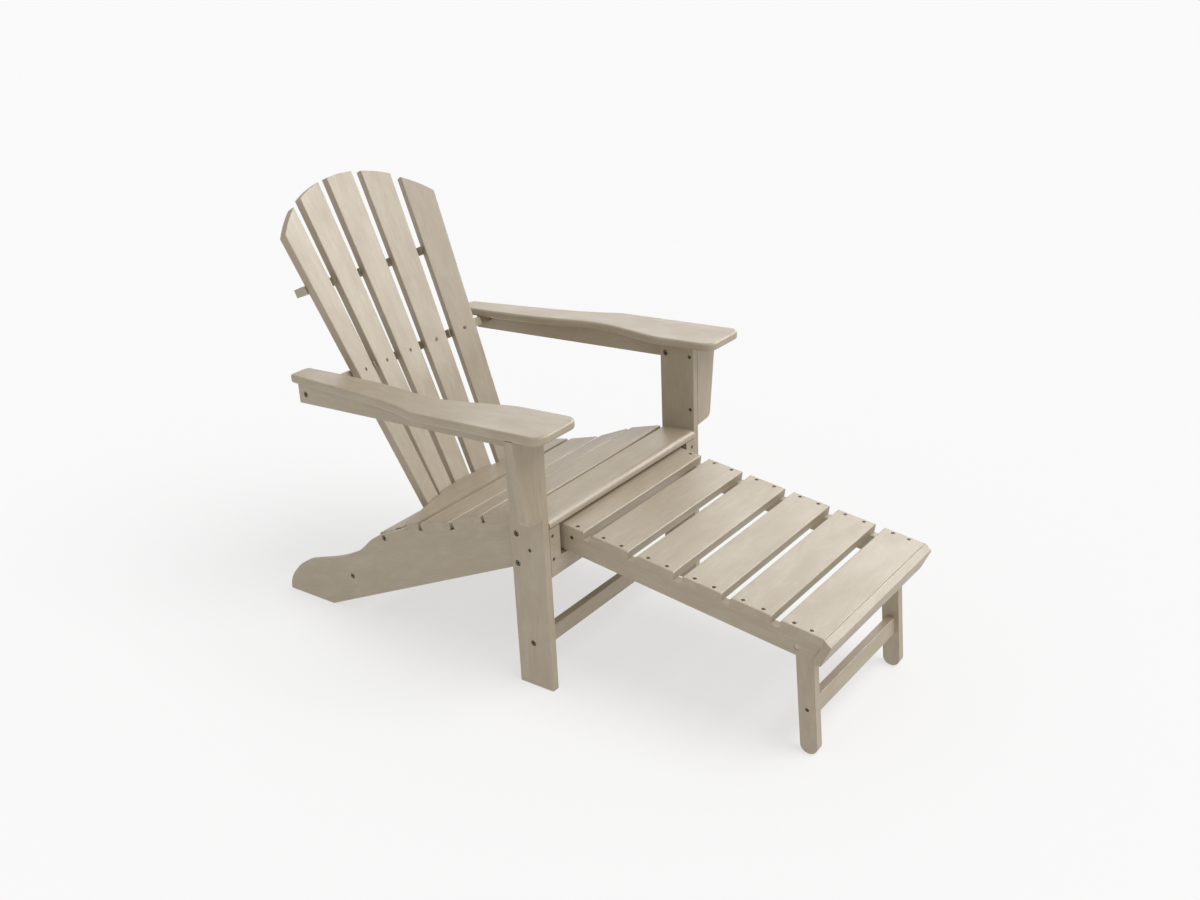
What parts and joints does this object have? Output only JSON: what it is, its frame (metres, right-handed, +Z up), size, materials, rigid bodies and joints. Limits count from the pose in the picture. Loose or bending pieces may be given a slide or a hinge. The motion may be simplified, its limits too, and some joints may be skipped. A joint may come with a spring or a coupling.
{
  "type": "adirondack chair with slide-out footrest",
  "caption": "Garden adirondack chair in plastic lumber with a fanned, hollowed back, broad arms on brackets and a slatted footrest that slides out and stands on folding legs.",
  "frame": {"origin": "centre of the bounding box on the floor", "axes": "+Z up, the sitter faces -Y, +X is the sitter's left"},
  "size_m": [0.75, 1.445, 0.9786],
  "materials": {
    "lumber": "matte, embossed grain",
    "steel": "stainless",
    "spacer": "plain"
  },
  "bodies": {
    "chair": {"front_apron": "lumber", "front_stretcher": "lumber", "rear_stretcher": "lumber", "front_seat_slat": "lumber", "second_seat_slat": "lumber", "third_seat_slat": "lumber", "fourth_seat_slat": "lumber", "rear_seat_slat": "lumber", "seat_pins": "steel", "arm_pins": "steel", "lower_back_brace": "lumber", "upper_back_brace": "lumber", "bottom_back_brace": "lumber", "back_brace_pins": "steel", "back_screws": "steel", "leg_bolts": "steel", "leg_screws": "steel", "front_stretcher_bolts": "steel", "rear_frame_bolts": "steel", "arm_rail_bolts": "steel", "bracket_screws": "steel", "apron_screws": "steel", "right_front_leg": "lumber", "right_side_rail": "lumber", "right_arm": "lumber", "right_arm_rail": "lumber", "right_arm_bracket": "lumber", "left_front_leg": "lumber", "left_side_rail": "lumber", "left_arm": "lumber", "left_arm_rail": "lumber", "left_arm_bracket": "lumber", "back_slat_1": "lumber", "back_slat_2": "lumber", "back_slat_3": "lumber", "back_slat_4": "lumber", "back_slat_5": "lumber"},
    "rest_rod": {"rest_rod": "steel"},
    "footrest": {"right_footrest_rail": "lumber", "left_footrest_rail": "lumber", "footrest_slat_1": "lumber", "footrest_slat_2": "lumber", "footrest_slat_3": "lumber", "footrest_slat_4": "lumber", "footrest_slat_5": "lumber", "footrest_slat_6": "lumber", "footrest_nose": "lumber", "nose_pins": "steel", "footrest_cross_batten": "lumber", "footrest_stop_batten": "lumber", "footrest_slat_screws": "steel", "batten_screws": "steel", "leg_pivot_bolts": "steel", "leg_pivot_nuts": "steel", "leg_pivot_spacers": "spacer"},
    "footrest_legs": {"right_footrest_leg": "lumber", "left_footrest_leg": "lumber", "footrest_leg_rung": "lumber", "rung_screws": "steel"}
  },
  "joints": [
    {"name": "footrest_tilt", "type": "hinge", "parent": "chair", "child": "rest_rod", "pos_m": [0, -0.1017, 0.30485], "axis": [1, 0, 0], "range_deg": [-25.6, 0]},
    {"name": "footrest_slide", "type": "slide", "parent": "rest_rod", "child": "footrest", "axis": [0, 0.99, 0.1407], "range_m": [0, 0.15]},
    {"name": "footrest_leg_fold", "type": "hinge", "parent": "footrest", "child": "footrest_legs", "pos_m": [0, -0.65174, 0.25167], "axis": [1, 0, 0], "range_deg": [0, 101.3]}
  ],
  "couplings": [
    {"joint": "footrest_tilt", "follows": "footrest_slide", "rad_per_m": -2.9671}
  ]
}
